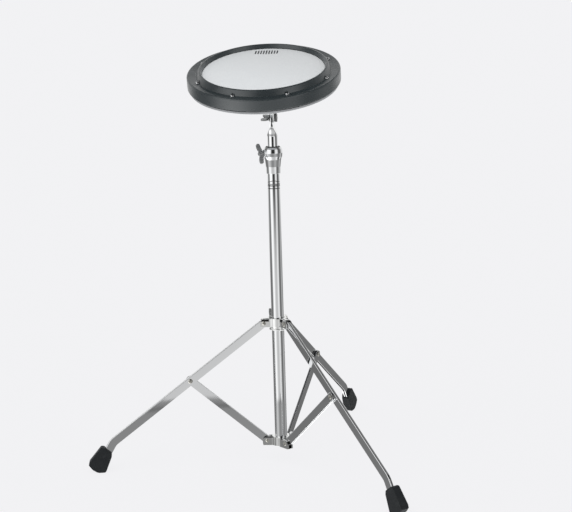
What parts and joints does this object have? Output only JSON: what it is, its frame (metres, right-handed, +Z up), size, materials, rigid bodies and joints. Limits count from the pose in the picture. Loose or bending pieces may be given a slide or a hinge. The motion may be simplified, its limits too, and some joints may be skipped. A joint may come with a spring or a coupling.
{
  "type": "practice pad",
  "caption": "Round drummer's practice pad with a tensioned head, tilting on a height-adjustable mast over a folding tripod stand.",
  "frame": {"origin": "centre of the bounding box's footprint, on the floor under the feet", "axes": "+Z up; the pad's playing surface leans down towards -Y, where the player sits; one leg points to -X"},
  "size_m": [0.4752, 0.5248, 0.6454],
  "materials": {
    "plated_steel": "bright zinc plate",
    "rubber": "moulded, matt",
    "chrome": "polished chrome plate",
    "zinc_casting": "plated zinc die casting, satin",
    "nylon": "moulded",
    "rim_plastic": "fine-textured moulding",
    "base_plastic": "fine-textured moulding",
    "fibreboard": "raw medium-density fibreboard",
    "foam": "closed-cell foam",
    "coated_film": "sprayed matt coating on polyester",
    "aluminium": "extruded",
    "brass": "turned"
  },
  "bodies": {
    "stand": {"base_tube": "chrome", "tube_plug": "rubber", "fixed_bracket": "plated_steel", "clamp_housing": "chrome", "bracket_rivet_a": "plated_steel", "bracket_rivet_b": "plated_steel", "bracket_rivet_c": "plated_steel"},
    "brace_a": {"brace_a": "plated_steel"},
    "leg_a": {"leg_a": "plated_steel", "middle_rivet_a": "plated_steel", "rubber_foot_a": "rubber"},
    "brace_b": {"brace_b": "plated_steel"},
    "leg_b": {"leg_b": "plated_steel", "middle_rivet_b": "plated_steel", "rubber_foot_b": "rubber"},
    "brace_c": {"brace_c": "plated_steel"},
    "leg_c": {"leg_c": "plated_steel", "middle_rivet_c": "plated_steel", "rubber_foot_c": "rubber"},
    "collar": {"sliding_collar": "chrome", "collar_rivet_a": "plated_steel", "collar_rivet_b": "plated_steel", "collar_rivet_c": "plated_steel"},
    "collar_bolt": {"collar_wing_bolt": "zinc_casting"},
    "clamp_bolt": {"clamp_wing_bolt": "zinc_casting"},
    "bushing": {"split_bushing": "nylon"},
    "mast": {"mast_tube": "chrome", "tilt_bolt": "plated_steel", "tilt_washer": "nylon"},
    "tilt_nut": {"tilt_wing_nut": "zinc_casting"},
    "pad": {"tension_rim": "rim_plastic", "base_shell": "base_plastic", "backing_board": "fibreboard", "foam_disc": "foam", "drumhead_film": "coated_film", "drumhead_hoop": "aluminium", "tilter_flange": "zinc_casting", "flange_screw_1": "plated_steel", "flange_screw_2": "plated_steel", "flange_screw_3": "plated_steel", "flange_screw_4": "plated_steel", "threaded_insert_1": "brass", "threaded_insert_2": "brass", "threaded_insert_3": "brass", "threaded_insert_4": "brass", "threaded_insert_5": "brass", "threaded_insert_6": "brass", "threaded_insert_7": "brass", "threaded_insert_8": "brass"},
    "screw_1": {"tension_screw_1": "chrome"},
    "screw_2": {"tension_screw_2": "chrome"},
    "screw_3": {"tension_screw_3": "chrome"},
    "screw_4": {"tension_screw_4": "chrome"},
    "screw_5": {"tension_screw_5": "chrome"},
    "screw_6": {"tension_screw_6": "chrome"},
    "screw_7": {"tension_screw_7": "chrome"},
    "screw_8": {"tension_screw_8": "chrome"}
  },
  "joints": [
    {"name": "brace_a_fold", "type": "hinge", "parent": "stand", "child": "brace_a", "pos_m": [0.04035, -0.01295, 0.036], "axis": [-0.0732, 0.9973, 0], "range_deg": [0, 35]},
    {"name": "leg_a_fold", "type": "hinge", "parent": "brace_a", "child": "leg_a", "pos_m": [-0.07584, -0.02148, 0.13854], "axis": [-0.0732, 0.9973, 0], "range_deg": [-74, 0]},
    {"name": "collar_rise", "type": "hinge", "parent": "leg_a", "child": "collar", "pos_m": [0.04035, -0.01295, 0.2257], "axis": [-0.0732, 0.9973, 0], "range_deg": [0, 39]},
    {"name": "brace_b_fold", "type": "hinge", "parent": "stand", "child": "brace_b", "pos_m": [0.07388, -0.02916, 0.036], "axis": [-0.8271, -0.5621, 0], "range_deg": [0, 35]},
    {"name": "leg_b_fold", "type": "hinge", "parent": "brace_b", "child": "leg_b", "pos_m": [0.13936, -0.12551, 0.13854], "axis": [-0.8271, -0.5621, 0], "range_deg": [-74, 0]},
    {"name": "brace_c_fold", "type": "hinge", "parent": "stand", "child": "brace_c", "pos_m": [0.07115, 0.00798, 0.036], "axis": [0.9003, -0.4352, 0], "range_deg": [0, 35]},
    {"name": "leg_c_fold", "type": "hinge", "parent": "brace_c", "child": "leg_c", "pos_m": [0.12186, 0.11287, 0.13854], "axis": [0.9003, -0.4352, 0], "range_deg": [-74, 0]},
    {"name": "collar_bolt_turn", "type": "hinge", "parent": "collar", "child": "collar_bolt", "pos_m": [0.06179, -0.01137, 0.2257], "axis": [-0.4695, 0.8829, 0], "range_deg": [0, 720]},
    {"name": "clamp_bolt_turn", "type": "hinge", "parent": "stand", "child": "clamp_bolt", "pos_m": [0.06179, -0.01137, 0.4865], "axis": [-0.9063, -0.4226, 0], "range_deg": [0, 720]},
    {"name": "mast_swivel", "type": "hinge", "parent": "stand", "child": "bushing", "pos_m": [0.06179, -0.01137, 0.4826], "axis": [0, 0, 1], "continuous": true},
    {"name": "mast_slide", "type": "slide", "parent": "bushing", "child": "mast", "axis": [0, 0, 1], "range_m": [-0.004, 0.25]},
    {"name": "pad_tilt", "type": "hinge", "parent": "mast", "child": "pad", "pos_m": [0.06179, -0.01137, 0.5392], "axis": [0.9927, -0.121, 0], "range_deg": [-107, 73]},
    {"name": "tilt_nut_turn", "type": "hinge", "parent": "mast", "child": "tilt_nut", "pos_m": [0.05842, -0.01096, 0.5392], "axis": [-0.9927, 0.121, 0], "range_deg": [0, 720]},
    {"name": "screw_1_turn", "type": "hinge", "parent": "pad", "child": "screw_1", "pos_m": [0.14739, -0.00193, 0.62309], "axis": [-0.0358, -0.2935, 0.9553], "range_deg": [-360, 360]},
    {"name": "screw_2_turn", "type": "hinge", "parent": "pad", "child": "screw_2", "pos_m": [0.09614, 0.05429, 0.63844], "axis": [-0.0358, -0.2935, 0.9553], "range_deg": [-360, 360]},
    {"name": "screw_3_turn", "type": "hinge", "parent": "pad", "child": "screw_3", "pos_m": [0.01874, 0.05982, 0.63724], "axis": [-0.0358, -0.2935, 0.9553], "range_deg": [-360, 360]},
    {"name": "screw_4_turn", "type": "hinge", "parent": "pad", "child": "screw_4", "pos_m": [-0.03948, 0.01141, 0.62019], "axis": [-0.0358, -0.2935, 0.9553], "range_deg": [-360, 360]},
    {"name": "screw_5_turn", "type": "hinge", "parent": "pad", "child": "screw_5", "pos_m": [-0.04441, -0.06257, 0.59727], "axis": [-0.0358, -0.2935, 0.9553], "range_deg": [-360, 360]},
    {"name": "screw_6_turn", "type": "hinge", "parent": "pad", "child": "screw_6", "pos_m": [0.00684, -0.11879, 0.58191], "axis": [-0.0358, -0.2935, 0.9553], "range_deg": [-360, 360]},
    {"name": "screw_7_turn", "type": "hinge", "parent": "pad", "child": "screw_7", "pos_m": [0.08424, -0.12432, 0.58311], "axis": [-0.0358, -0.2935, 0.9553], "range_deg": [-360, 360]},
    {"name": "screw_8_turn", "type": "hinge", "parent": "pad", "child": "screw_8", "pos_m": [0.14246, -0.07591, 0.60017], "axis": [-0.0358, -0.2935, 0.9553], "range_deg": [-360, 360]}
  ],
  "couplings": [
    {"joint": "leg_a_fold", "follows": "brace_a_fold", "ratio": -2.111},
    {"joint": "collar_rise", "follows": "brace_a_fold", "ratio": 1.111},
    {"joint": "leg_b_fold", "follows": "brace_a_fold", "ratio": -2.111},
    {"joint": "brace_b_fold", "follows": "brace_a_fold", "ratio": 1},
    {"joint": "leg_c_fold", "follows": "brace_a_fold", "ratio": -2.111},
    {"joint": "brace_c_fold", "follows": "brace_a_fold", "ratio": 1}
  ]
}
